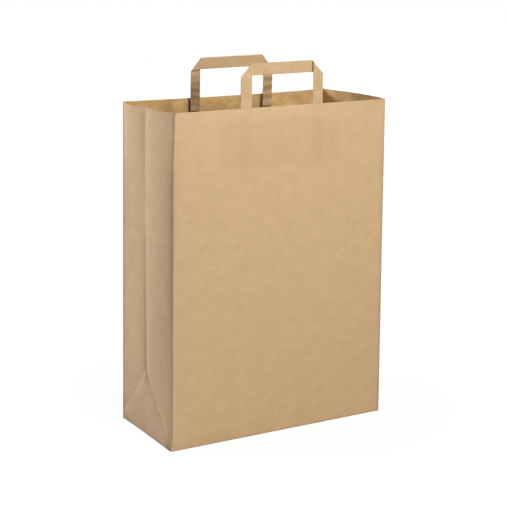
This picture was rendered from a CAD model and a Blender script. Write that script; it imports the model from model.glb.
# Paper carrier bag: a block-bottom bag of brown kraft paper that stands open, with two flat paper handles.
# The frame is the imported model's, in metres, +Z up, with the origin in the middle of the base and the front
# panel facing -Y. Lengths below are in millimetres, as a bag maker gives them, and MM turns them to metres.
import math

import bpy
import numpy as np
from mathutils import Matrix, Vector


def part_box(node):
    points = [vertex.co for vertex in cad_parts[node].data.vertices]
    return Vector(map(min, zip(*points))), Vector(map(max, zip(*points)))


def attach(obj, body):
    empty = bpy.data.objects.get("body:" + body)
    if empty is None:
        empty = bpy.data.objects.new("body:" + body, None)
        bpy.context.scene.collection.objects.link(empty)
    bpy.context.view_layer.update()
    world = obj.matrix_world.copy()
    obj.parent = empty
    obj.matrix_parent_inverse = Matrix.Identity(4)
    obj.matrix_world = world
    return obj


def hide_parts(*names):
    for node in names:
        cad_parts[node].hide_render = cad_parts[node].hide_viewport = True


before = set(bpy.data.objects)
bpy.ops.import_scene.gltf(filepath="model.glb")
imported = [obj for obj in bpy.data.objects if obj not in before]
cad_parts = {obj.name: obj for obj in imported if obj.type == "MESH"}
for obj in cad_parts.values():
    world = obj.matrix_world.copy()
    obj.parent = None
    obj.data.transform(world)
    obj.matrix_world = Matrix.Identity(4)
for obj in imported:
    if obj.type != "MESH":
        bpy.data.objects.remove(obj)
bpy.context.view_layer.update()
MM = 0.001

# Bag body
# One sheet of brown kraft paper, folded into a tube with two gussets, lapped and glued down the back, with
# its lower end folded flat and glued as a block bottom. It stands open, with its creases still in it.

SHEET = 0.15  # thickness of the paper
PANEL_WIDTH = 320
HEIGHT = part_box("bag_body")[1].z / MM
DEPTH = -2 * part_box("bag_body")[0].y / MM
RIM_DRAW_IN = 3  # each end of a panel's rim stands this much inside its foot
RIM_CLOSURE = 5.5  # the two panels' rims stand this much closer together than their feet
RIM_TILT = 1.0  # the mouth is this much higher in front, and this much lower behind
FOLD_ROUND = 0.35  # the paper starts to turn this far from a fold
BASE_ROUND = 0.7  # radius of the turn from the walls to the base


def smooth(value, low, high):
    share = np.clip((value - low) / (high - low), 0, 1)
    return share * share * (3 - 2 * share)


def half_width(z):
    return PANEL_WIDTH / 2 - RIM_DRAW_IN * z / HEIGHT


def half_depth(z):
    return (DEPTH - RIM_CLOSURE * z / HEIGHT) / 2


# The handle unit behind a panel stands out through it: two legs, and the patch glued over them.
STRIP_WIDTH = 15
HANDLE_SPAN = 123
HANDLE_SHIFT = -2.5
REAR_DROP = 4
PATCH_MARGIN = 29
PATCH_HEIGHT = 58
PATCH_DROP = 17
LEG_MIDDLE = (HANDLE_SPAN - STRIP_WIDTH) / 2
LEG_INNER = LEG_MIDDLE - STRIP_WIDTH / 2
LEG_OUTER = LEG_MIDDLE + STRIP_WIDTH / 2
PATCH_HALF = LEG_OUTER + PATCH_MARGIN
FOOT = -PATCH_DROP - PATCH_HEIGHT  # lower end of the legs and the patch, from the rim
MARK_SOFT = 0.8  # half the width over which the unit's edges show through
PATCH_RELIEF = 0.12
LEG_RELIEF = 0.22


def band(value, low, high, soft):
    return smooth(value, low - soft, low + soft) * (1 - smooth(value, high - soft, high + soft))


def behind_panel(x, z, drop):
    rise = z - HEIGHT + drop
    across = np.abs(x - HANDLE_SHIFT)
    patch = band(rise, FOOT, -PATCH_DROP, MARK_SOFT)
    patch = patch * (1 - smooth(across, PATCH_HALF - MARK_SOFT, PATCH_HALF + MARK_SOFT))
    legs = band(across, LEG_INNER, LEG_OUTER, MARK_SOFT)
    legs = legs * smooth(rise, FOOT - MARK_SOFT, FOOT + MARK_SOFT)
    return patch, legs


# The upper part of the front panel rolls back a little into its folds.
EDGE_CURL = 0.5
CURL_REACH = 2.5
CURL_HEIGHTS = (120, 260)


def edge_curl(from_fold, z):
    return EDGE_CURL * np.exp(-from_fold / CURL_REACH) * smooth(z, *CURL_HEIGHTS)


# The left front corner stands out a little, most of all at the base, and draws in at the rim.
CORNER_FLARE = 0.8
BASE_FLARE = 2.4
BASE_FLARE_HEIGHT = 14
RIM_PULL = 2.2
RIM_PULL_FROM = 355
FLARE_REACH = 8


def corner_flare(z):
    flare = CORNER_FLARE + BASE_FLARE * np.exp(-z / BASE_FLARE_HEIGHT)
    return flare - RIM_PULL * smooth(z, RIM_PULL_FROM, HEIGHT)


# One short wrinkle slants down to the right, low on the front panel.
WRINKLE_X = 77
WRINKLE_Z = 71
WRINKLE_RUN = (0.61, -0.79)
WRINKLE_HALF_LENGTH = 20
WRINKLE_HALF_WIDTH = 3
WRINKLE_HEIGHT = 0.45


def front_face(x, z):
    patch, legs = behind_panel(x, z, 0)
    run_x, run_z = WRINKLE_RUN
    along = ((x - WRINKLE_X) * run_x + (z - WRINKLE_Z) * run_z) / WRINKLE_HALF_LENGTH
    across = (z - WRINKLE_Z) * run_x - (x - WRINKLE_X) * run_z
    wrinkle = WRINKLE_HEIGHT * np.exp(-along**2 - (across / WRINKLE_HALF_WIDTH) ** 2)
    face = -half_depth(z) - PATCH_RELIEF * patch - LEG_RELIEF * legs - wrinkle
    return face + edge_curl(half_width(z) - np.abs(x), z)


# The back panel bows in towards the rim, and is dented where the base was once folded flat against it.
BACK_BOW = 8
FOLD_HEIGHT = 87  # of that fold, and of the point where the tuck creases of a gusset meet
BACK_FOLD_DENT = 1.5
BACK_FOLD_SPREAD = 60


def back_face(x, z):
    bow = BACK_BOW * z * (1 - (x / half_width(z)) ** 2) / HEIGHT
    dent = BACK_FOLD_DENT * np.maximum(0, 1 - np.abs(z - FOLD_HEIGHT) / BACK_FOLD_SPREAD)
    patch, legs = behind_panel(x, z, REAR_DROP)
    return half_depth(z) - bow - dent + PATCH_RELIEF * patch + LEG_RELIEF * legs


# The right rear corner of the mouth is bent back.
CORNER_BEND_BACK = 7
CORNER_BEND_IN = 2
CORNER_BEND_REACH = 45
CORNER_BEND_HEIGHT = 130


def corner_bend(z):
    return smooth(z, HEIGHT - CORNER_BEND_HEIGHT, HEIGHT)


# Each half of a gusset bows out. Its middle crease stands out from the line between the panels, by an amount
# that goes evenly from the fold height to the rim, and is pressed in by a depth that varies with the height.
LEFT_FRONT_BOW = 6
LEFT_REAR_BOW = 7.5
RIGHT_FRONT_BOW = 1.2
RIGHT_REAR_BOW = 0
FRONT_BOW_HEIGHTS = (20, 180)
REAR_BOW_SCALE = 2.6  # makes the rear half's greatest bow, at the rim, the value given
LEFT_CREASE_OUT_AT_RIM = 2.5
RIGHT_CREASE_OUT_AT_RIM = 5
CREASE_OUT_AT_FOLD = -0.3
CREASE_SHIFT = 2  # behind the middle of the gusset
CREASE_HEIGHTS = [FOLD_HEIGHT, 120, 205, 245, 283, 320, HEIGHT]
LEFT_CREASE_DEPTHS = [4.0, 3.0, 2.2, 1.5, -0.8, -0.2, -1.2]
RIGHT_CREASE_DEPTHS = [4.0, 3.0, 1.0, 0.3, 0, 0, 0]
# The two tuck creases climb from the corner folds to the middle crease. For each half: the depth of its tuck
# crease, the height over which that starts, and how far the dent spreads inside the triangle between the tuck
# creases, outside it, and beside the middle crease.
TUCK_FOOT = 9
FRONT_TUCK_LEAD = 0.11  # share of the front half at which its tuck crease starts
FRONT_PRESS = {"depth": 3.6, "start": 30, "inside": 8, "outside": 9, "beside": 14}
REAR_PRESS = {"depth": 2.4, "start": 25, "inside": 9, "outside": 20, "beside": 6}
TUCK_BLEND = 8
TRIANGLE_FADE = 14
# The foot of the gusset is dented in the middle.
MIDDLE_DENT = 1.4
MIDDLE_DENT_REACH = 14
MIDDLE_DENT_START = 6
MIDDLE_DENT_HEIGHTS = (20, 62)
# The front half is pinched in beside its fold, which stays as a narrow ridge. It is pinched most above.
PINCH = 2.4
PINCH_REACH = 6
PINCH_RIDGE = 0.6
PINCH_START = 50
PINCH_LOW = 0.55
PINCH_MORE = 0.45
PINCH_MORE_HEIGHTS = (140, 260)
TINY = 1e-6  # keeps a division from meeting zero


def gusset_outward(share, tucked, z, bow, is_front, crease_depths, crease_at_rim):
    opened = np.clip((z - FOLD_HEIGHT) / (HEIGHT - FOLD_HEIGHT), 0, 1)
    crease_depth = np.interp(z, CREASE_HEIGHTS, crease_depths)
    crease = CREASE_OUT_AT_FOLD + (crease_at_rim - CREASE_OUT_AT_FOLD) * opened
    crease = (crease + crease_depth) * np.minimum(share, tucked)
    # Between a panel and the creases the paper bows out: evenly in front, and more towards the crease behind.
    to_crease = np.minimum(share / np.maximum(tucked, TINY), 1)
    if is_front:
        bulge = bow * smooth(z, *FRONT_BOW_HEIGHTS) * 4 * to_crease * (1 - to_crease)
    else:
        bulge = bow * (z / HEIGHT) ** 3 * REAR_BOW_SCALE * to_crease * (1 - to_crease**2)
    # The creases are pressed in. Inside the triangle between them the press fades towards its middle.
    press = FRONT_PRESS if is_front else REAR_PRESS
    away = (share - tucked) * DEPTH / 2
    below = np.maximum(FOLD_HEIGHT - z, 0)
    tuck_depth = press["depth"] + (crease_depth - press["depth"]) * np.exp(-below / TUCK_BLEND)
    depth = np.where(below > 0, tuck_depth * smooth(z, 0, press["start"]), crease_depth)
    reach = np.where(below > 0, press["outside"], press["beside"])
    reach = np.where(away > 0, press["inside"], reach)
    half_triangle = (1 - tucked) * DEPTH / 2
    in_triangle = np.clip(away / np.maximum(half_triangle, TINY), 0, 1)
    fade = 1 - np.minimum(half_triangle / TRIANGLE_FADE, 1) * in_triangle**2
    valley = depth * np.exp(-np.abs(away) / reach) * fade
    to_middle = (1 - share) * DEPTH / 2
    middle = MIDDLE_DENT * (1 - smooth(z, *MIDDLE_DENT_HEIGHTS)) * np.exp(-to_middle / MIDDLE_DENT_REACH)
    middle = middle * smooth(z, 0, MIDDLE_DENT_START)
    from_panel = share * DEPTH / 2
    pinch = np.exp(-from_panel / PINCH_REACH) - np.exp(-from_panel / PINCH_RIDGE)
    pinch = (PINCH if is_front else 0) * pinch * smooth(z, 0, PINCH_START)
    pinch = pinch * (PINCH_LOW + PINCH_MORE * smooth(z, *PINCH_MORE_HEIGHTS))
    return crease + bulge - valley - middle - pinch


def front_run(share, z):
    x = half_width(z) * (2 * share - 1)
    flare = corner_flare(z) * np.exp(-share * PANEL_WIDTH / FLARE_REACH)
    return x - flare, front_face(x, z)


def back_run(share, z):
    x = half_width(z) * (1 - 2 * share)
    bend = corner_bend(z) * (1 - smooth(share * PANEL_WIDTH, 0, CORNER_BEND_REACH))
    return x - CORNER_BEND_IN * bend, back_face(x, z) + CORNER_BEND_BACK * bend


def half_gusset(side, bow, panel, towards_crease):
    def run(share, z):
        reach = share if towards_crease else 1 - share
        edge = panel * half_depth(z)
        tucked = np.clip((z - TUCK_FOOT) / (FOLD_HEIGHT - TUCK_FOOT), 0, 1)
        flare_share = reach / 2
        if panel < 0:
            edge = edge + edge_curl(0, z)
            flare_share = 1 - reach / 2
            # The tuck crease of the front half starts in from the corner, and the columns of points follow.
            lead = np.clip(FRONT_TUCK_LEAD + (1 - FRONT_TUCK_LEAD) * z / FOLD_HEIGHT, 0, 1)
            before = reach * lead / np.maximum(tucked, TINY)
            after = 1 - (1 - reach) * (1 - lead) / np.maximum(1 - tucked, TINY)
            reach = np.where(reach <= tucked, before, after)
            tucked = lead
        flare = corner_flare(z) * flare_share**2 if side < 0 else 0
        depths = LEFT_CREASE_DEPTHS if side < 0 else RIGHT_CREASE_DEPTHS
        at_rim = LEFT_CREASE_OUT_AT_RIM if side < 0 else RIGHT_CREASE_OUT_AT_RIM
        outward = flare + gusset_outward(reach, tucked, z, bow, panel < 0, depths, at_rim)
        x = side * (half_width(z) + outward)
        y = edge + (CREASE_SHIFT - edge) * reach
        if side > 0 and panel > 0:
            bend = corner_bend(z) * (1 - reach)
            x = x - CORNER_BEND_IN * bend
            y = y + CORNER_BEND_BACK * bend
        return x, y

    return run


GUSSET_STEPS = 32
PANEL_STEP = 5
LAP_WIDTH = 15
LAP_INSET = 22
LAP_EDGE = 0.03  # half the width of the step at each edge of the lap
LAP_FADE = (60, 200)  # across the panel, over which that step of one sheet dies away
ROWS_BESIDE_FOLD = np.array([1.5, 3, 4.5, 6.5, 9, 12])
COLUMNS_BESIDE_FOLD = np.array([0.6, 0.9, 1.3, 1.75, 2.8, 3.5])
runs = [
    ("front", front_run, PANEL_WIDTH),
    ("right_front", half_gusset(1, RIGHT_FRONT_BOW, -1, True), DEPTH / 2),
    ("right_rear", half_gusset(1, RIGHT_REAR_BOW, 1, False), DEPTH / 2),
    ("back", back_run, PANEL_WIDTH),
    ("left_rear", half_gusset(-1, LEFT_REAR_BOW, 1, True), DEPTH / 2),
    ("left_front", half_gusset(-1, LEFT_FRONT_BOW, -1, False), DEPTH / 2),
]
base_turn = np.radians([0, 22.5, 45, 67.5, 90])
low_rows = BASE_ROUND * (1 - np.cos(base_turn))
tuck_rows = np.linspace(TUCK_FOOT, FOLD_HEIGHT, GUSSET_STEPS + 1)
wall_rows = np.linspace(FOLD_HEIGHT + 16, HEIGHT, 74)
wall_rows = np.concatenate([FOLD_HEIGHT + ROWS_BESIDE_FOLD, wall_rows])
rows = np.concatenate([low_rows, [3, 7], tuck_rows, wall_rows[:-1], [HEIGHT - 1.5, HEIGHT]])
z = rows[:, None]

columns_x, columns_y, column_run, column_share = [], [], [], []


def add_columns(name, shares, x, y):
    columns_x.append(x)
    columns_y.append(y)
    column_run.extend([name] * len(shares))
    column_share.extend(shares)


for index, (name, run, length) in enumerate(runs):
    near = FOLD_ROUND / length
    fine = np.array([2 * FOLD_ROUND])
    if name in ("front", "back"):
        shares = np.linspace(0, 1, int(length / PANEL_STEP) + 1)[1:-1]
    else:
        shares = np.linspace(0, 1, GUSSET_STEPS + 1)[1:-1]
        fine = COLUMNS_BESIDE_FOLD
    if name == "back":
        lap_sides = (-LAP_EDGE, LAP_EDGE, LAP_WIDTH - LAP_EDGE, LAP_WIDTH + LAP_EDGE)
        lap_edges = [(LAP_INSET + offset) / length for offset in lap_sides]
        shares = np.concatenate([shares, lap_edges])
    shares = np.sort(np.concatenate([shares, fine / length, 1 - fine / length]))
    add_columns(name, shares, *run(shares[None, :], z))
    next_name, next_run, next_length = runs[(index + 1) % len(runs)]
    turn = np.array([0, 0.25, 0.5, 0.75, 1])
    before = run(1 - near, z)
    corner = run(1.0, z)
    after = next_run(FOLD_ROUND / next_length, z)
    early, halfway, late = (1 - turn) ** 2, 2 * turn * (1 - turn), turn**2
    x, y = (early * a + halfway * b + late * c for a, b, c in zip(before, corner, after))
    add_columns(name, 1 - near * (1 - turn[:3] * 2), x[:, :3], y[:, :3])
    add_columns(next_name, FOLD_ROUND / next_length * (turn[3:] * 2 - 1), x[:, 3:], y[:, 3:])

wall_x = np.hstack(columns_x)
wall_y = np.hstack(columns_y)
column_run = np.array(column_run)
column_share = np.array(column_share)
inset = np.zeros_like(rows)
inset[: len(base_turn)] = BASE_ROUND * (1 - np.sin(base_turn))
wall_x = wall_x * (1 - inset[:, None] / (PANEL_WIDTH / 2))
wall_y = wall_y * (1 - inset[:, None] / (DEPTH / 2))
# The mouth stands a little higher in front than behind.
wall_z = z - RIM_TILT * (z / HEIGHT) ** 2 * wall_y / (DEPTH / 2)
wall = np.stack([wall_x, wall_y, wall_z], -1)


# Two skins of equal grids, joined along their borders into one closed sheet.
def closed_sheet(outer, inner, wrap, leans=None):
    row_count, column_count = outer.shape[:2]
    points = np.concatenate([outer.reshape(-1, 3), inner.reshape(-1, 3)])
    index = np.arange(row_count * column_count).reshape(row_count, column_count)
    other = index + row_count * column_count
    faces = []
    for column in range(column_count if wrap else column_count - 1):
        right = (column + 1) % column_count
        lean = 0 if leans is None else leans[column]
        for row in range(row_count - 1):
            a, b = index[row, column], index[row, right]
            c, d = index[row + 1, right], index[row + 1, column]
            shift = row_count * column_count
            if lean == 0:
                outside = [(a, b, c, d)]
            elif lean > 0:
                outside = [(a, b, c), (a, c, d)]
            else:
                outside = [(a, b, d), (b, c, d)]
            faces.extend(outside)
            faces.extend(tuple(point + shift for point in reversed(face)) for face in outside)
    for column in range(column_count if wrap else column_count - 1):
        right = (column + 1) % column_count
        faces.append((index[-1, column], index[-1, right], other[-1, right], other[-1, column]))
        faces.append((index[0, right], index[0, column], other[0, column], other[0, right]))
    if not wrap:
        for row in range(row_count - 1):
            faces.append((index[row, 0], index[row + 1, 0], other[row + 1, 0], other[row, 0]))
            faces.append((index[row + 1, -1], index[row, -1], other[row, -1], other[row + 1, -1]))
    return points, faces


def grid_normals(grid, wrap):
    if wrap:
        across = np.roll(grid, -1, 1) - np.roll(grid, 1, 1)
    else:
        across = np.gradient(grid, axis=1)
    normals = np.cross(across, np.gradient(grid, axis=0))
    return normals / np.linalg.norm(normals, axis=2, keepdims=True)


wall_normals = grid_normals(wall, True)
on_back = column_run == "back"
across_back = column_share * PANEL_WIDTH
lap_step = SHEET * (1 - smooth(across_back, *LAP_FADE))
outer_step = np.where(on_back & (across_back > LAP_INSET), lap_step, 0)
inner_step = np.where(on_back & (across_back > LAP_INSET + LAP_WIDTH), lap_step, 0)
outer = wall + wall_normals * outer_step[None, :, None]
inner = wall + wall_normals * (inner_step - SHEET)[None, :, None]
column_lean = np.zeros(len(column_run), int)
column_lean[(column_run == "right_front") | (column_run == "left_rear")] = 1
column_lean[(column_run == "right_rear") | (column_run == "left_front")] = -1
wall_points, wall_faces = closed_sheet(outer, inner, True, column_lean)

# What the material and the cockles read from each point of the wall: "fold" is a pale fold line, "rubbed" a
# darker, soiled place, "free" how far the paper may cockle, and "layers" what is glued behind it.
FRONT_HALVES = ["right_front", "left_front"]
REAR_HALVES = ["right_rear", "left_rear"]
in_gusset = np.isin(column_run, FRONT_HALVES + REAR_HALVES)
towards_crease = np.isin(column_run, ["right_front", "left_rear"])
share_to_crease = np.where(towards_crease, column_share, 1 - column_share)
from_left = column_share * PANEL_WIDTH
from_right = (1 - column_share) * PANEL_WIDTH
from_corner = np.where(in_gusset, share_to_crease * DEPTH / 2, np.minimum(from_left, from_right))
from_crease = np.where(in_gusset, (1 - share_to_crease) * DEPTH / 2, PANEL_WIDTH)
tuck_share = (z - TUCK_FOOT) / (FOLD_HEIGHT - TUCK_FOOT)
from_tuck = np.abs(share_to_crease[None, :] - tuck_share) * DEPTH / 2 / math.sqrt(2)
in_tuck = in_gusset[None, :] & (tuck_share >= 0) & (tuck_share <= 1)


# Full on a line, and fading softly to both sides of it.
def soft_line(distance, reach):
    return np.exp(-((distance / reach) ** 2))


def on_runs(names, values):
    return np.where(np.isin(column_run, names), values, 0)[None, :]


# Pale lines: the corner folds, the middle creases, the tuck creases, the front rim at its left, and the fold
# across the back.
CORNER_PALE = 0.4
CREASE_PALE = 0.7
LOW_CREASE_PALE = 0.4
TUCK_PALE = 1.5
RIM_PALE = 0.7
RIM_PALE_DEPTH = 20
BACK_FOLD_PALE = 0.5
fold = CORNER_PALE * soft_line(from_corner, reach=0.9)[None, :] * np.ones_like(z)
crease_pale = np.where(z > FOLD_HEIGHT, CREASE_PALE, LOW_CREASE_PALE)
fold = np.maximum(fold, soft_line(from_crease, reach=1.0)[None, :] * crease_pale)
fold = np.maximum(fold, np.where(in_tuck, TUCK_PALE * soft_line(from_tuck, reach=1.2), 0))
rim_pale = RIM_PALE * np.exp(-(HEIGHT - z) / RIM_PALE_DEPTH) * (1 - smooth(wall_x, 40, 130))
fold = np.maximum(fold, on_runs(["front"], 1) * rim_pale)
back_fold = BACK_FOLD_PALE * soft_line(z - FOLD_HEIGHT - 1, reach=1.5)
fold = np.maximum(fold, on_runs(["back"] + REAR_HALVES, 1) * back_fold)

# Rubbed and soiled places. First the foot of the walls, weaker on the panels.
BASE_LINE = 0.5
BASE_HAZE = 0.14
ON_PANELS = 0.35
along_base = BASE_HAZE * np.exp(-z / 8) + BASE_LINE * soft_line(z, reach=1.7)
rubbed = np.where(in_gusset[None, :], 1, ON_PANELS) * along_base
# The gussets beside the front corner folds, where hands hold the bag, and those folds' feet.
HANDLED = 0.38
HANDLED_MORE = 0.1
HANDLED_LESS = 0.2
HANDLED_FOOT = 0.35
handled = HANDLED + HANDLED_MORE * band(z, 160, 350, 30) - HANDLED_LESS * smooth(z, 350, 390)
rubbed = rubbed + smooth(z, -4, 10) * handled * on_runs(FRONT_HALVES, np.exp(-from_corner / 5.5))
handled_foot = HANDLED_FOOT * soft_line(z, reach=5)
rubbed = rubbed + handled_foot * on_runs(FRONT_HALVES, soft_line(from_corner, reach=4))
# Behind the middle crease, most of all where the tuck creases meet on it.
CREASE_RUB = 0.16
APEX_RUB = 0.14
crease_rub = CREASE_RUB * band(z, FOLD_HEIGHT, 270, 12) + APEX_RUB * soft_line(z - FOLD_HEIGHT - 3, reach=9)
rubbed = rubbed + crease_rub * on_runs(REAR_HALVES, np.exp(-from_crease / 4))
# The front panel's two side folds.
LEFT_FOLD_RUB = 0.2
RIGHT_FOLD_RUB = 0.4
RIGHT_FOLD_LESS = 0.7
left_rub = LEFT_FOLD_RUB * band(z, 250, 370, 30)
rubbed = rubbed + left_rub * on_runs(["front"], np.exp(-from_left / 2.5))
right_rub = RIGHT_FOLD_RUB * (1 - RIGHT_FOLD_LESS * smooth(z, 350, 390))
rubbed = rubbed + right_rub * on_runs(["front"], np.exp(-from_right / 2.4))
# The left gusset beside its rear fold: a narrow soiled band, and a broad faint one.
SOILED = 0.14
SOILED_ABOVE = 0.22
SOILED_AT_RIM = 0.16
SOILED_WIDE = 0.13
soiled = SOILED + SOILED_ABOVE * smooth(z, 30, 170) + SOILED_AT_RIM * smooth(z, 320, 390)
rubbed = rubbed + soiled * on_runs(["left_rear"], soft_line(from_corner, reach=7))
soiled_wide = SOILED_WIDE * smooth(z, 150, 310) * (1 - smooth(z, 340, 372))
rubbed = rubbed + soiled_wide * on_runs(["left_rear"], soft_line(from_corner, reach=38))

# The folds, the base, the creases and the glued handle unit hold the paper still. These are the distances
# from them at which it is free.
GUSSET_HELD = 20
PANEL_HELD = 45
BASE_HELD = 60
CREASE_HELD = 15
UNIT_HELD = 40
held = np.where(in_gusset, GUSSET_HELD, PANEL_HELD)
free = np.minimum(from_corner / held, 1)[None, :] * np.minimum(z / BASE_HELD, 1)
free = free * np.minimum(np.where(in_gusset, from_crease / CREASE_HELD, 1), 1)[None, :]
beside_unit = np.abs(wall_x - HANDLE_SHIFT) - PATCH_HALF
below_unit = HEIGHT - PATCH_DROP - PATCH_HEIGHT - REAR_DROP - z
from_unit = np.maximum(beside_unit, below_unit)
free = free * np.where(in_gusset[None, :], 1, smooth(from_unit, 0, UNIT_HELD))

PATCH_SHADE = 0.16
LEG_SHADE = 0.19
LAP_SHADE = 0.18
heights = np.broadcast_to(z, wall_x.shape)
front_patch_mark, front_leg_mark = behind_panel(wall_x, heights, 0)
rear_patch_mark, rear_leg_mark = behind_panel(wall_x, heights, REAR_DROP)
front_mark = PATCH_SHADE * front_patch_mark + LEG_SHADE * front_leg_mark
rear_mark = PATCH_SHADE * rear_patch_mark + LEG_SHADE * rear_leg_mark
lap_mark = LAP_SHADE * band(across_back, LAP_INSET, LAP_INSET + LAP_WIDTH, 0.3)[None, :] * np.ones_like(z)
layers = np.where((column_run == "front")[None, :], front_mark, 0)
layers = np.where(on_back[None, :], np.maximum(rear_mark, lap_mark), layers)


# The block bottom: the gussets' tucked ends inside, the back flap under them and the front flap lowest.
FLAP_OVERLAP = 25
FLAP_REACH = DEPTH / 2 + FLAP_OVERLAP / 2
FLAP_STEPS = 24


def flap(near_left, near_right, far_right, far_left, level, flare=0):
    share = np.linspace(0, 1, FLAP_STEPS + 1)
    u, v = share[None, :, None], share[:, None, None]
    corners = [np.array(corner, float) for corner in (near_left, near_right, far_right, far_left)]
    flat = (1 - v) * ((1 - u) * corners[0] + u * corners[1]) + v * ((1 - u) * corners[3] + u * corners[2])
    flat = flat - flare * (1 - u) ** 2 * (1 - v) ** 2 * np.array([1, 0])
    lower = np.dstack([flat, np.full(flat.shape[:2], level)])
    upper = lower + (0, 0, SHEET)
    return closed_sheet(upper, lower, False)


EDGE_IN = 0.35  # the flaps stay this far inside the walls
LOWEST = 0.02  # the underside of the front flap
base_x = PANEL_WIDTH / 2 - EDGE_IN
base_y = DEPTH / 2 - EDGE_IN
flap_x = PANEL_WIDTH / 2 - FLAP_REACH
flap_y = FLAP_REACH - DEPTH / 2
left_tuck = [(-base_x, -base_y), (-flap_x, -base_y), (-flap_x, base_y), (-base_x, base_y)]
right_tuck = [(flap_x, -base_y), (base_x, -base_y), (base_x, base_y), (flap_x, base_y)]
flaps = [
    flap((-base_x, -base_y), (base_x, -base_y), (flap_x, flap_y), (-flap_x, flap_y), LOWEST, corner_flare(0)),
    flap((-flap_x, -flap_y), (flap_x, -flap_y), (base_x, base_y), (-base_x, base_y), LOWEST + SHEET),
    flap(*left_tuck, LOWEST + 2 * SHEET, corner_flare(0)),
    flap(*right_tuck, LOWEST + 2 * SHEET),
]
points, faces = [wall_points], list(wall_faces)
count = len(wall_points)
for flap_points, flap_faces in flaps:
    points.append(flap_points)
    faces.extend(tuple(point + count for point in face) for face in flap_faces)
    count += len(flap_points)
flap_count = count - len(wall_points)


def mesh_piece(name, points, faces, **point_values):
    mesh = bpy.data.meshes.new(name)
    mesh.from_pydata((np.asarray(points) * MM).tolist(), [], faces)
    for value_name, values in point_values.items():
        layer = mesh.attributes.new(value_name, "FLOAT", "POINT")
        layer.data.foreach_set("value", np.ascontiguousarray(values, np.float32))
    mesh.shade_smooth()
    mesh.set_sharp_from_angle(angle=math.radians(50))
    mesh.validate()
    piece = bpy.data.objects.new(name, mesh)
    bpy.context.scene.collection.objects.link(piece)
    return piece


def both_skins(values):
    return np.concatenate([values.ravel(), values.ravel()])


def with_flaps(values, on_flaps):
    return np.concatenate([both_skins(values), np.full(flap_count, on_flaps)])


bag_body = mesh_piece(
    "kraft_bag_body",
    np.concatenate(points),
    faces,
    fold=with_flaps(fold, 0.0),
    free=with_flaps(free, 0.0),
    layers=with_flaps(layers, 0.0),
    rubbed=with_flaps(rubbed, 0.0),
    inside=np.concatenate([np.zeros(layers.size), np.ones(layers.size), np.full(flap_count, 0.5)]),
)


# Adds a node with its settings, and its inputs as values or as links from other sockets.
def add_node(tree, kind, inputs=None, **settings):
    made = tree.nodes.new(kind)
    for name, value in settings.items():
        setattr(made, name, value)
    for name, value in (inputs or {}).items():
        if isinstance(value, bpy.types.NodeSocket):
            tree.links.new(value, made.inputs[name])
        else:
            made.inputs[name].default_value = value
    return made


# Paper that has been folded and opened again is never flat: it cockles in broad, shallow swells.
# The tree moves each point by a smooth noise, as far as the point's "free" value lets it.
cockle = bpy.data.node_groups.new("paper_cockle", "GeometryNodeTree")
cockle.interface.new_socket("Geometry", in_out="INPUT", socket_type="NodeSocketGeometry")
for socket_name in ("Swell", "Wavelength", "Seed"):
    cockle.interface.new_socket(socket_name, in_out="INPUT", socket_type="NodeSocketFloat")
cockle.interface.new_socket("Paper", in_out="INPUT", socket_type="NodeSocketMaterial")
cockle.interface.new_socket("Geometry", in_out="OUTPUT", socket_type="NodeSocketGeometry")
given = add_node(cockle, "NodeGroupInput")
freedom = add_node(cockle, "GeometryNodeInputNamedAttribute", {"Name": "free"}, data_type="FLOAT")
place = add_node(cockle, "GeometryNodeInputPosition")
waves = add_node(cockle, "ShaderNodeMath", {0: 1.0, 1: given.outputs["Wavelength"]}, operation="DIVIDE")
swells = add_node(
    cockle,
    "ShaderNodeTexNoise",
    {"Vector": place.outputs[0], "W": given.outputs["Seed"], "Scale": waves.outputs[0], "Detail": 1.5},
    noise_dimensions="4D",
)
half = (0.5, 0.5, 0.5)
centred = add_node(
    cockle, "ShaderNodeVectorMath", {0: swells.outputs["Color"], 1: half}, operation="SUBTRACT"
)
reach = add_node(
    cockle, "ShaderNodeMath", {0: given.outputs["Swell"], 1: freedom.outputs[0]}, operation="MULTIPLY"
)
offset = add_node(
    cockle, "ShaderNodeVectorMath", {0: centred.outputs[0], "Scale": reach.outputs[0]}, operation="SCALE"
)
moved = add_node(
    cockle, "GeometryNodeSetPosition", {"Geometry": given.outputs["Geometry"], "Offset": offset.outputs[0]}
)
real = add_node(cockle, "GeometryNodeRealizeInstances", {0: moved.outputs[0]})
dressed = add_node(
    cockle, "GeometryNodeSetMaterial", {"Geometry": real.outputs[0], "Material": given.outputs["Paper"]}
)
add_node(cockle, "NodeGroupOutput", {0: dressed.outputs[0]})


# Runs a tree on a piece and leaves the result as its plain mesh.
def grow(piece, tree, **values):
    modifier = piece.modifiers.new(tree.name, "NODES")
    modifier.node_group = tree
    for socket in tree.interface.items_tree:
        if socket.in_out == "INPUT" and socket.name in values:
            modifier[socket.identifier] = values[socket.name]
    seen = piece.evaluated_get(bpy.context.evaluated_depsgraph_get())
    grown = bpy.data.meshes.new_from_object(seen)
    piece.modifiers.remove(modifier)
    piece.data = grown
    return piece


def linear(code):
    channels = [int(code[i : i + 2], 16) / 255 for i in (1, 3, 5)]
    return [c / 12.92 if c <= 0.04045 else ((c + 0.055) / 1.055) ** 2.4 for c in channels] + [1.0]


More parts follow.
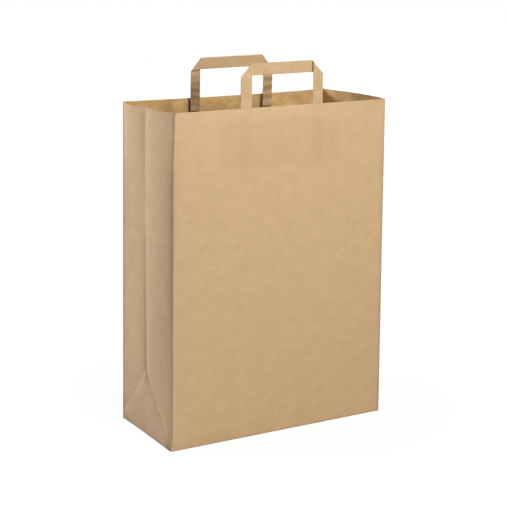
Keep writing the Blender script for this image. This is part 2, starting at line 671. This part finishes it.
# Brown kraft paper, uncoated: a matt sheet of long unbleached fibres. The eye sees a warm brown that clouds
# softly over some 20 mm, fine fibre grain that runs round the bag, and paler lines where it was folded.
def kraft_paper(name, pale, deep, worn, warm):
    paper = bpy.data.materials.new(name)
    paper.use_nodes = True
    tree = paper.node_tree
    shader = tree.nodes["Principled BSDF"]
    place = add_node(tree, "ShaderNodeTexCoord")
    grain_place = add_node(
        tree, "ShaderNodeMapping", {"Vector": place.outputs["Object"], "Scale": (0.6, 0.6, 1)}
    )
    clouds = add_node(
        tree,
        "ShaderNodeTexNoise",
        {"Vector": grain_place.outputs[0], "Scale": 1 / (14 * MM), "Detail": 3.0, "Roughness": 0.6},
    )
    # Real fibres are some 0.03 mm wide: these are drawn as bundles of 1 mm, so that they show.
    grain = add_node(
        tree,
        "ShaderNodeTexNoise",
        {"Vector": grain_place.outputs[0], "Scale": 1 / (1.0 * MM), "Detail": 2.0, "Roughness": 0.65},
    )
    tone = add_node(
        tree,
        "ShaderNodeMix",
        {"Factor": 0.64, 2: clouds.outputs["Fac"], 3: grain.outputs["Fac"]},
        data_type="FLOAT",
    )
    spread = add_node(
        tree, "ShaderNodeMapRange", {"Value": tone.outputs[0], "From Min": 0.3, "From Max": 0.7}
    )
    colour = add_node(
        tree,
        "ShaderNodeMix",
        {"Factor": spread.outputs[0], 6: linear(deep), 7: linear(pale)},
        data_type="RGBA",
    )
    layers = add_node(tree, "ShaderNodeAttribute", attribute_name="layers")
    layered = add_node(
        tree,
        "ShaderNodeMix",
        {"Factor": layers.outputs["Fac"], 6: colour.outputs[2], 7: linear("#B8977A")},
        data_type="RGBA",
    )
    cloudy = add_node(
        tree,
        "ShaderNodeMapRange",
        {"Value": clouds.outputs["Fac"], "From Min": 0.35, "From Max": 0.65, "To Min": 0.87, "To Max": 1.13},
    )
    tint = add_node(
        tree, "ShaderNodeVectorMath", {0: linear(warm)[:3], "Scale": cloudy.outputs[0]}, operation="SCALE"
    )
    inside = add_node(tree, "ShaderNodeAttribute", attribute_name="inside")
    warmed = add_node(
        tree,
        "ShaderNodeMix",
        {"Factor": inside.outputs["Fac"], 6: layered.outputs[2], 7: tint.outputs[0]},
        data_type="RGBA",
        blend_type="MULTIPLY",
    )
    fold = add_node(tree, "ShaderNodeAttribute", attribute_name="fold")
    fold_share = add_node(tree, "ShaderNodeMath", {0: fold.outputs["Fac"], 1: 0.4}, operation="MULTIPLY")
    creased = add_node(
        tree,
        "ShaderNodeMix",
        {"Factor": fold_share.outputs[0], 6: warmed.outputs[2], 7: linear(worn)},
        data_type="RGBA",
    )
    rubbed = add_node(tree, "ShaderNodeAttribute", attribute_name="rubbed")
    finished = add_node(
        tree,
        "ShaderNodeMix",
        {"Factor": rubbed.outputs["Fac"], 6: creased.outputs[2], 7: linear("#6E5434")},
        data_type="RGBA",
    )
    relief = add_node(
        tree, "ShaderNodeBump", {"Height": grain.outputs["Fac"], "Strength": 0.25, "Distance": 0.05 * MM}
    )
    tree.links.new(finished.outputs[2], shader.inputs["Base Color"])
    tree.links.new(relief.outputs[0], shader.inputs["Normal"])
    shader.inputs["Roughness"].default_value = 0.82
    shader.inputs["Specular IOR Level"].default_value = 0.25
    return paper


kraft_sheet = kraft_paper("brown_kraft_sheet", "#DAB98F", "#C4A276", "#DDBF98", "#F9F4D9")
grow(bag_body, cockle, Swell=2.4 * MM, Wavelength=85 * MM, Seed=3.0, Paper=kraft_sheet)
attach(bag_body, "root")
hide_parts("bag_body")


# Handles
# Each is one strip of several plies of kraft paper, folded twice at 45 degrees into two legs and a bar. The
# legs lie against the inside of a panel, and the bar on the inside of the legs. The rear one is turned round.

STRIP_THICK = 0.8
GLUE = 0.1
HANDLE_RISE = 56
ROLL = 0.55  # radius of the first mitre fold
LOOSE_ROLL = 1.2  # radius of the second one
BAR_MIDDLE = HANDLE_RISE - STRIP_WIDTH / 2

# Folds a flat strip over a line: points past the line roll over half a turn and come back on the other side.
mitre = bpy.data.node_groups.new("mitre_fold", "GeometryNodeTree")
mitre.interface.new_socket("Geometry", in_out="INPUT", socket_type="NodeSocketGeometry")
for socket_name in ("Fold point", "Fold outwards"):
    mitre.interface.new_socket(socket_name, in_out="INPUT", socket_type="NodeSocketVector")
for socket_name in ("Roll", "Side"):
    mitre.interface.new_socket(socket_name, in_out="INPUT", socket_type="NodeSocketFloat")
mitre.interface.new_socket("Paper", in_out="INPUT", socket_type="NodeSocketMaterial")
mitre.interface.new_socket("Geometry", in_out="OUTPUT", socket_type="NodeSocketGeometry")
given = add_node(mitre, "NodeGroupInput")


def sums(operation, first, second):
    return add_node(mitre, "ShaderNodeMath", {0: first, 1: second}, operation=operation).outputs[0]


def vectors(operation, inputs, output=0):
    return add_node(mitre, "ShaderNodeVectorMath", inputs, operation=operation).outputs[output]


roll = given.outputs["Roll"]
outwards = given.outputs["Fold outwards"]
side = given.outputs["Side"]
place = add_node(mitre, "GeometryNodeInputPosition").outputs[0]
from_fold = vectors("SUBTRACT", {0: place, 1: given.outputs["Fold point"]})
past = vectors("DOT_PRODUCT", {0: from_fold, 1: outwards}, "Value")
level = add_node(mitre, "ShaderNodeSeparateXYZ", {0: from_fold}).outputs["Z"]
height = sums("MULTIPLY", level, side)
half_turn = sums("MULTIPLY", roll, math.pi / 2)
start = sums("MULTIPLY", half_turn, -1.0)
angle = sums("DIVIDE", sums("SUBTRACT", past, start), roll)
angle = sums("MINIMUM", sums("MAXIMUM", angle, 0.0), math.pi)
radius = sums("SUBTRACT", roll, height)
swing = sums("MULTIPLY", radius, sums("SINE", angle, 0.0))
beyond = sums("MAXIMUM", sums("SUBTRACT", past, half_turn), 0.0)
folded = sums("SUBTRACT", sums("ADD", sums("MINIMUM", past, start), swing), beyond)
lifted = sums("SUBTRACT", roll, sums("MULTIPLY", radius, sums("COSINE", angle, 0.0)))
slide = vectors("SCALE", {0: outwards, "Scale": sums("SUBTRACT", folded, past)})
rise = sums("SUBTRACT", sums("MULTIPLY", lifted, side), level)
lift = add_node(mitre, "ShaderNodeCombineXYZ", {"Z": rise}).outputs[0]
shift = vectors("ADD", {0: slide, 1: lift})
moved = add_node(mitre, "GeometryNodeSetPosition", {"Geometry": given.outputs["Geometry"], "Offset": shift})
real = add_node(mitre, "GeometryNodeRealizeInstances", {0: moved.outputs[0]})
dressed = add_node(
    mitre, "GeometryNodeSetMaterial", {"Geometry": real.outputs[0], "Material": given.outputs["Paper"]}
)
add_node(mitre, "NodeGroupOutput", {0: dressed.outputs[0]})

# The flat strip stands upright over the first leg. Its rows slant so that they lie along each fold.
LEG_STATION = 1.25
BAR_STATION = 3
SLANT_RUN = 40  # length of strip over which the rows come to lie along a fold
EDGE_ROUND = 0.45
EDGE_TURN = 0.46
first_fold = BAR_MIDDLE - FOOT
second_fold = first_fold + 2 * LEG_MIDDLE
strip_length = second_fold + first_fold
around_fold = np.concatenate([np.linspace(-1, 1, 13), [-2.5, 2.5]]) * math.pi / math.sqrt(2)
stations = np.concatenate([
    np.arange(0, first_fold - 4, LEG_STATION),
    first_fold + around_fold * ROLL,
    np.arange(first_fold + 5, second_fold - 8, BAR_STATION),
    second_fold + around_fold * LOOSE_ROLL,
    np.arange(second_fold + 8, strip_length, LEG_STATION),
    [strip_length],
])
stations = np.sort(stations)
slant_places = [0, first_fold - SLANT_RUN, first_fold, second_fold, second_fold + SLANT_RUN, strip_length]
slants = np.interp(stations, slant_places, [0, 0, -1, 1, 0, 0])
half_strip = STRIP_WIDTH / 2
widths = half_strip * np.array([-1, -0.985, -0.94, -0.8, -0.5, -0.2, 0.2, 0.5, 0.8, 0.94, 0.985, 1])
strip_x = np.broadcast_to(LEG_MIDDLE + widths, (len(stations), len(widths)))
strip_y = FOOT + stations[:, None] + slants[:, None] * widths
# The plies are folded over at both edges of the strip, so the edges are round.
into_edge = np.maximum(np.abs(widths) - half_strip + EDGE_ROUND, 0) / EDGE_TURN
half_thick = STRIP_THICK / 2 * np.sqrt(np.clip(1 - into_edge**2, 0.02, 1))
half_thick = np.broadcast_to(half_thick, strip_x.shape)
strip_skins = [np.dstack([strip_x, strip_y, sign * half_thick]) for sign in (1, -1)]
strip_points, strip_faces = closed_sheet(*strip_skins, False)

kraft_strip = kraft_paper("kraft_handle_strip", "#DAB990", "#B6966B", "#D8BA92", "#FFFFFF")
# The folding is not quite even: the edges of the legs and of the bar's ends from left to right, and how far
# each mitre runs down its leg.
LEG_EDGES = {"front": [-63.7, -47.2, 43, 58], "rear": [-64.5, -50.7, 45.7, 60.7]}
BAR_EDGES = {"front": LEG_EDGES["front"], "rear": [-64.5, -50.7, 43.4, 59.5]}
MITRE_DROPS = {"front": [2.3, 0, 0, 0.7], "rear": [2, 0, 0, 4]}
# Above its patch the rear handle comes away from the back panel and is drawn up a little, its bar most of all
# at the right.
REAR_RISE = 0.48
REAR_BAR_TILT = 0.35
REAR_STAND_OFF = 4
STAND_OFF_RUN = 4
# The rear legs are crumpled across and soiled towards the bag, the left one more.
LEFT_CRUMPLE = {"depth": 0.2, "spacing": 9.2, "slant": 0.12, "shift": 0}
RIGHT_CRUMPLE = {"depth": 0.35, "spacing": 12.3, "slant": -0.1, "shift": 2.4}
LEFT_STAIN = 0.12
RIGHT_STAIN = 0.2
LEFT_STAIN_BELOW = 0.6
RIGHT_STAIN_BELOW = 0.16
STAIN_INSIDE = 0.45
STAIN_ABOVE = 0.55
CRUMPLE_SHADE = 0.6


def crumpled(x, up, depth, spacing, slant, shift):
    return depth * np.sin(2 * math.pi * (up + shift + slant * x) / spacing)


even_edges = HANDLE_SHIFT + np.array([-LEG_OUTER, -LEG_INNER, LEG_INNER, LEG_OUTER])
slanted = math.sqrt(0.5)
for panel in ("front", "rear"):
    strip = mesh_piece(f"kraft_{panel}_handle", strip_points, strip_faces)
    first_point = Vector((LEG_MIDDLE, BAR_MIDDLE, 0)) * MM
    second_point = Vector((-LEG_MIDDLE, BAR_MIDDLE, 2 * ROLL)) * MM
    first_mitre = {"Fold point": first_point, "Fold outwards": (slanted, slanted, 0)}
    second_mitre = {"Fold point": second_point, "Fold outwards": (-slanted, slanted, 0)}
    grow(strip, mitre, **first_mitre, Roll=ROLL * MM, Side=1.0, Paper=kraft_strip)
    grow(strip, mitre, **second_mitre, Roll=LOOSE_ROLL * MM, Side=-1.0, Paper=kraft_strip)
    flat = np.empty(len(strip.data.vertices) * 3)
    strip.data.vertices.foreach_get("co", flat)
    across, up, level = (flat.reshape(-1, 3) / MM).T
    on_leg = (level < ROLL).astype(float)
    on_bar = smooth(level, 0, 2 * ROLL)
    # The second mitre is looser, so the bar slants back to it.
    level = level + 2 * (LOOSE_ROLL - ROLL) * smooth(LEG_INNER - across, 0, 2 * LEG_INNER)
    depth = level + GLUE + STRIP_THICK / 2
    x = (-across if panel == "front" else across) + HANDLE_SHIFT
    drop = np.interp(x, even_edges, MITRE_DROPS[panel]) * smooth(up, 10, 38)
    leg_shift = np.interp(x, even_edges, LEG_EDGES[panel] - even_edges)
    bar_shift = np.interp(x, even_edges, BAR_EDGES[panel] - even_edges)
    x = x + leg_shift + (bar_shift - leg_shift) * smooth(up, 28, 48)
    height = up + HEIGHT - drop
    if panel == "front":
        y = -half_depth(height) + SHEET + depth
        stain = np.zeros(len(x))
    else:
        height = height - REAR_DROP + REAR_RISE * smooth(up, 0, 30) + REAR_BAR_TILT * x / LEG_MIDDLE * on_bar
        bow = BACK_BOW * height * (1 - (x / half_width(height)) ** 2) / HEIGHT
        stand_off = REAR_STAND_OFF * smooth(up + PATCH_DROP, 0, STAND_OFF_RUN)
        at_left = x < 0
        crumple = np.where(at_left, crumpled(x, up, **LEFT_CRUMPLE), crumpled(x, up, **RIGHT_CRUMPLE))
        crumple = crumple * on_leg * band(up, -10, 36, 5)
        y = half_depth(height) - bow - SHEET - depth - stand_off + crumple
        stain_below = np.where(at_left, LEFT_STAIN_BELOW, RIGHT_STAIN_BELOW) * (1 - smooth(up, 8, 42))
        stain = np.where(at_left, LEFT_STAIN, RIGHT_STAIN) + stain_below
        stain = stain * (STAIN_INSIDE + STAIN_ABOVE * smooth(up, -15, 6))
        stain = (stain - CRUMPLE_SHADE * crumple) * on_leg * smooth(up, -30, -17)
    placed = np.stack([x, y, height], -1) * MM
    strip.data.vertices.foreach_set("co", placed.ravel())
    free_layer = strip.data.attributes.new("free", "FLOAT", "POINT")
    free_layer.data.foreach_set("value", smooth(height, HEIGHT, HEIGHT + 15).astype(np.float32))
    stain_layer = strip.data.attributes.new("rubbed", "FLOAT", "POINT")
    stain_layer.data.foreach_set("value", stain.astype(np.float32))
    strip.data.update()
    seed = 7.0 if panel == "front" else 11.0
    grow(strip, cockle, Swell=1.2 * MM, Wavelength=40 * MM, Seed=seed, Paper=kraft_strip)
    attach(strip, "root")
    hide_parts(f"{panel}_handle")


# Patches
# Each is a piece of kraft paper glued to the inside of a panel over the two legs of a handle, so that the
# load spreads. It follows the legs as low ridges, with its cut edges showing inside the bag.

PATCH_RAMP = 3  # width over which the patch climbs onto a leg
RAMP_MARGIN = 0.5
patch_y = np.linspace(FOOT, -PATCH_DROP, 30)
kraft_patch = kraft_paper("kraft_patch", "#CDAB80", "#BD9A6E", "#D2B38B", "#FFFFFF")
for panel in ("front", "rear"):
    outer_left, inner_left, inner_right, outer_right = LEG_EDGES[panel]
    ramp = np.linspace(-PATCH_RAMP - RAMP_MARGIN, PATCH_RAMP + RAMP_MARGIN, 9)
    ramps = [edge + ramp for edge in LEG_EDGES[panel]]
    patch_x = np.concatenate([HANDLE_SHIFT + np.linspace(-PATCH_HALF, PATCH_HALF, 73), *ramps])
    patch_x = np.unique(patch_x)[:: -1 if panel == "front" else 1]
    beside_left = np.maximum(outer_left - patch_x, patch_x - inner_left)
    beside_right = np.maximum(inner_right - patch_x, patch_x - outer_right)
    climb = 1 - smooth(np.minimum(beside_left, beside_right) - GLUE, 0, PATCH_RAMP)
    patch_depth = GLUE + (STRIP_THICK + GLUE) * climb
    x, flat_y = np.meshgrid(patch_x, patch_y)
    skins = []
    for depth in (patch_depth, patch_depth + SHEET):
        if panel == "front":
            height = flat_y + HEIGHT
            y = -half_depth(height) + SHEET + depth[None, :]
        else:
            height = flat_y + HEIGHT - REAR_DROP
            bow = BACK_BOW * height * (1 - (x / half_width(height)) ** 2) / HEIGHT
            y = half_depth(height) - bow - SHEET - depth[None, :]
        skins.append(np.dstack([x, y, height]))
    patch_points, patch_faces = closed_sheet(skins[0], skins[1], False)
    patch = mesh_piece(f"kraft_{panel}_patch", patch_points, patch_faces, free=np.zeros(len(patch_points)))
    patch.data.materials.append(kraft_patch)
    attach(patch, "root")
    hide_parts(f"{panel}_patch")


# Floor and light
# A white paper floor that the camera sees as white with a faint shadow, a large soft light far in front, a
# small one close above the front, and a cooler one at the left behind.

FLOOR_HALF = 4.0
floor_corners = [(x * FLOOR_HALF, y * FLOOR_HALF, 0) for x, y in ((-1, -1), (1, -1), (1, 1), (-1, 1))]
floor_mesh = bpy.data.meshes.new("studio_floor")
floor_mesh.from_pydata(floor_corners, [], [(0, 1, 2, 3)])
floor = bpy.data.objects.new("studio_floor", floor_mesh)
bpy.context.scene.collection.objects.link(floor)


def seen_directly(tree):
    path = add_node(tree, "ShaderNodeLightPath")
    shine = add_node(
        tree,
        "ShaderNodeMath",
        {0: path.outputs["Is Glossy Ray"], 1: path.outputs["Is Transmission Ray"]},
        operation="MAXIMUM",
    )
    return add_node(
        tree, "ShaderNodeMath", {0: path.outputs["Is Camera Ray"], 1: shine.outputs[0]}, operation="MAXIMUM"
    ).outputs[0]


white_paper = bpy.data.materials.new("white_backdrop_paper")
white_paper.use_nodes = True
tree = white_paper.node_tree
tree.nodes.clear()
matt = add_node(tree, "ShaderNodeBsdfDiffuse", {"Color": linear("#D8D8D8")})
glow = add_node(tree, "ShaderNodeEmission", {"Color": (1, 1, 1, 1), "Strength": 1.08})
place = add_node(tree, "ShaderNodeTexCoord")
away = add_node(tree, "ShaderNodeVectorMath", {0: place.outputs["Object"]}, operation="LENGTH")
whiter = add_node(
    tree,
    "ShaderNodeMapRange",
    {"Value": away.outputs["Value"], "From Min": 0.2, "From Max": 0.7, "To Min": 0.86, "To Max": 1.0},
)
share = add_node(tree, "ShaderNodeMath", {0: seen_directly(tree), 1: whiter.outputs[0]}, operation="MULTIPLY")
both = add_node(tree, "ShaderNodeMixShader", {0: share.outputs[0], 1: matt.outputs[0], 2: glow.outputs[0]})
add_node(tree, "ShaderNodeOutputMaterial", {"Surface": both.outputs[0]})
floor_mesh.materials.append(white_paper)

world = bpy.data.worlds.new("studio")
bpy.context.scene.world = world
world.use_nodes = True
tree = world.node_tree
tree.nodes.clear()
room = add_node(tree, "ShaderNodeBackground", {"Color": linear("#FFFFFF"), "Strength": 0.0})
backdrop = add_node(tree, "ShaderNodeBackground", {"Color": (1, 1, 1, 1), "Strength": 1.0})
both = add_node(
    tree, "ShaderNodeMixShader", {0: seen_directly(tree), 1: room.outputs[0], 2: backdrop.outputs[0]}
)
add_node(tree, "ShaderNodeOutputWorld", {"Surface": both.outputs[0]})


def soft_light(name, place, aim, size, power, colour):
    lamp = bpy.data.lights.new(name, "AREA")
    lamp.shape = "RECTANGLE"
    lamp.size, lamp.size_y = size
    lamp.energy = power
    lamp.color = linear(colour)[:3]
    light = bpy.data.objects.new(name, lamp)
    bpy.context.scene.collection.objects.link(light)
    light.location = place
    light.rotation_euler = (Vector(aim) - Vector(place)).to_track_quat("-Z", "Y").to_euler()


soft_light("front_softbox", (1.46, -3.14, 2.25), (0, 0, 0.25), (0.8, 0.8), 77, "#FFFFFF")
soft_light("near_softbox", (-0.1, -0.79, 0.97), (0, -0.07, 0.25), (0.3, 0.3), 4.95, "#FFFFFF")
soft_light("left_softbox", (-0.87, 0.52, 0.73), (-0.16, 0, 0.3), (0.22, 0.22), 10.05, "#E5E9FA")


# Camera
# The photograph was taken from the front left, a little above, with a long lens from about two metres.

AZIMUTH = math.radians(-31.21)
ELEVATION = math.radians(13.31)
ROLL_ANGLE = math.radians(0.67)
TARGET = Vector((0, 0, 240)) * MM
DISTANCE = 1931 * MM
FRAMING = Vector((0.7, 14.2)) * MM
FOCAL_PIXELS = 1454
IMAGE_PIXELS = 507

backwards = Vector((
    math.sin(AZIMUTH) * math.cos(ELEVATION),
    -math.cos(AZIMUTH) * math.cos(ELEVATION),
    math.sin(ELEVATION),
))
level_right = Vector((math.cos(AZIMUTH), math.sin(AZIMUTH), 0))
level_up = backwards.cross(level_right)
right = math.cos(ROLL_ANGLE) * level_right + math.sin(ROLL_ANGLE) * level_up
up = math.cos(ROLL_ANGLE) * level_up - math.sin(ROLL_ANGLE) * level_right
lens = bpy.data.cameras.new("camera")
lens.sensor_width = 36
lens.lens = FOCAL_PIXELS / IMAGE_PIXELS * lens.sensor_width
lens.clip_start, lens.clip_end = 0.05, 50
camera = bpy.data.objects.new("camera", lens)
bpy.context.scene.collection.objects.link(camera)
place = TARGET + DISTANCE * backwards - FRAMING.x * right - FRAMING.y * up
turn = Matrix((right, up, backwards)).transposed().to_4x4()
camera.matrix_world = Matrix.Translation(place) @ turn
bpy.context.scene.camera = camera
bpy.context.scene.view_settings.view_transform = "Standard"
